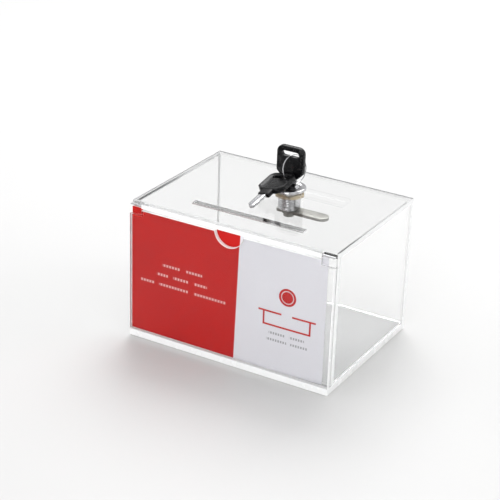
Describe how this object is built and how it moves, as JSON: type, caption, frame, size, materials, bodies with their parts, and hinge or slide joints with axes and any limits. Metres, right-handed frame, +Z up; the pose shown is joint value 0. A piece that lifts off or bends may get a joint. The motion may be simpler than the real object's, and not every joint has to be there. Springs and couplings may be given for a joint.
{
  "type": "donation box",
  "caption": "Clear acrylic donation box with a sign pocket on its front, a money slot in its hinged lid, a cam lock and keys on a split ring.",
  "frame": {"origin": "on the table, under the middle of the box", "axes": "+X to the right as seen from the sign, -Y to the front, where the sign is, +Z up"},
  "size_m": [0.1574, 0.1168, 0.1335],
  "materials": {
    "acrylic": "clear cast acrylic sheet, polished edges",
    "printed_sign": "printed sheet, red and pale halves",
    "chrome": "bright nickel chrome",
    "brass_nut": "yellow passivated",
    "wafer_brass": "stamped brass",
    "steel": "satin zinc plated",
    "key_steel": "nickel plated, milled cuts",
    "black_plastic": "moulded black plastic, half gloss"
  },
  "bodies": {
    "box": {"base_panel": "acrylic", "back_wall": "acrylic", "left_wall": "acrylic", "right_wall": "acrylic", "inner_front_wall": "acrylic", "sign_window": "acrylic", "sign_insert": "printed_sign", "hinge_block_left": "acrylic", "hinge_block_right": "acrylic", "hinge_pin_left": "steel", "hinge_pin_right": "steel", "cam_catch": "acrylic"},
    "lid": {"lid_panel": "acrylic", "lock_housing": "chrome", "lock_nut": "brass_nut"},
    "lock_core": {"lock_plug": "chrome", "wafer_1": "wafer_brass", "wafer_2": "wafer_brass", "wafer_3": "wafer_brass", "wafer_4": "wafer_brass", "wafer_5": "wafer_brass", "cam": "steel", "cam_washer": "steel", "cam_screw": "steel"},
    "key": {"key_bow": "black_plastic", "key_blade": "key_steel"},
    "ring": {"key_ring": "key_steel"},
    "spare_key": {"spare_key_bow": "black_plastic", "spare_key_blade": "key_steel"}
  },
  "joints": [
    {"name": "lid_hinge", "type": "hinge", "parent": "box", "child": "lid", "pos_m": [0, -0.0569, 0.1001], "axis": [1, 0, 0], "range_deg": [0, 105]},
    {"name": "lock_turn", "type": "hinge", "parent": "lid", "child": "lock_core", "pos_m": [0, 0.0235, 0.1016], "axis": [0, 0, 1], "range_deg": [0, 90]},
    {"name": "key_slide", "type": "slide", "parent": "lock_core", "child": "key", "axis": [0, 0, 1], "range_m": [0, 0.022]},
    {"name": "ring_swing", "type": "hinge", "parent": "key", "child": "ring", "pos_m": [0.00033, 0.0235, 0.12693], "axis": [-0.3782, -0.9197, -0.106], "range_deg": [0, 30]},
    {"name": "spare_key_swing", "type": "hinge", "parent": "ring", "child": "spare_key", "pos_m": [0.003, 0.0235, 0.1174], "axis": [-0.8855, 0.3927, -0.2483], "range_deg": [0, 40]}
  ]
}
